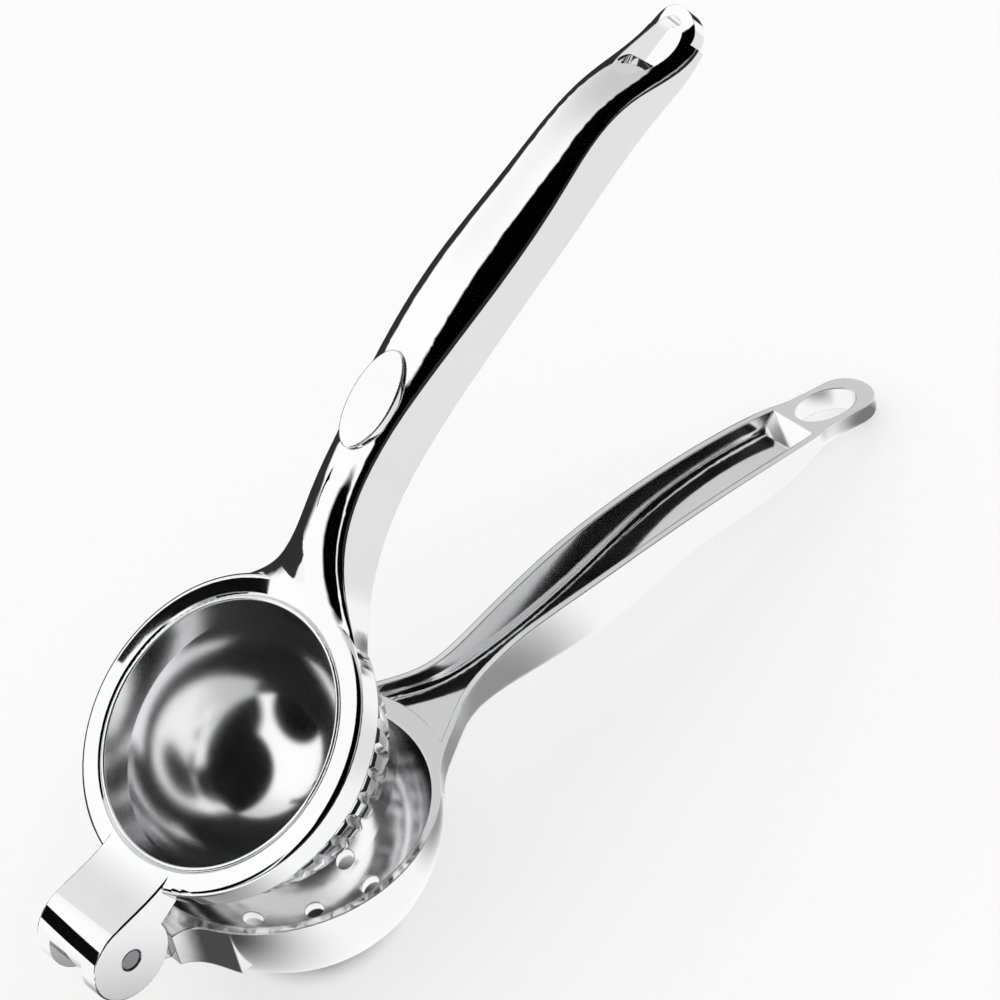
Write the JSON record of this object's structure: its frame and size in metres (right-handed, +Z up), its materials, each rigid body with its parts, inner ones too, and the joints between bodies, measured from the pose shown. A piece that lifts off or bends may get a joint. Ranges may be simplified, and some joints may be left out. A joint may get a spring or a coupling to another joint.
{
  "type": "lemon squeezer",
  "caption": "Hand lever squeezer: a ribbed press cup on the upper arm folds into a drained bowl on the lower channel-shaped arm, about a hinge pin.",
  "frame": {"origin": "middle of the bounding box's bottom face, on the table that the part rests on, with the press arm open as in the picture", "axes": "+X from the hinge towards the handles' ends, +Y along the hinge pin, +Z up"},
  "size_m": [0.22, 0.0668, 0.131],
  "materials": {
    "bowl_chrome": "polished chrome plating on a casting",
    "press_chrome": "polished chrome plating on a casting",
    "cup_chrome": "polished chrome plating",
    "badge_chrome": "polished chrome plating",
    "pin_steel": "turned steel end"
  },
  "bodies": {
    "bowl_lever": {"bowl_arm": "bowl_chrome"},
    "press_lever": {"press_arm": "press_chrome", "press_cup": "cup_chrome", "badge": "badge_chrome", "hinge_pin": "pin_steel"}
  },
  "joints": [
    {"name": "squeeze_hinge", "type": "hinge", "parent": "bowl_lever", "child": "press_lever", "pos_m": [-0.10069, 0, 0.04137], "axis": [0, -1, 0], "range_deg": [-30, 60]}
  ]
}
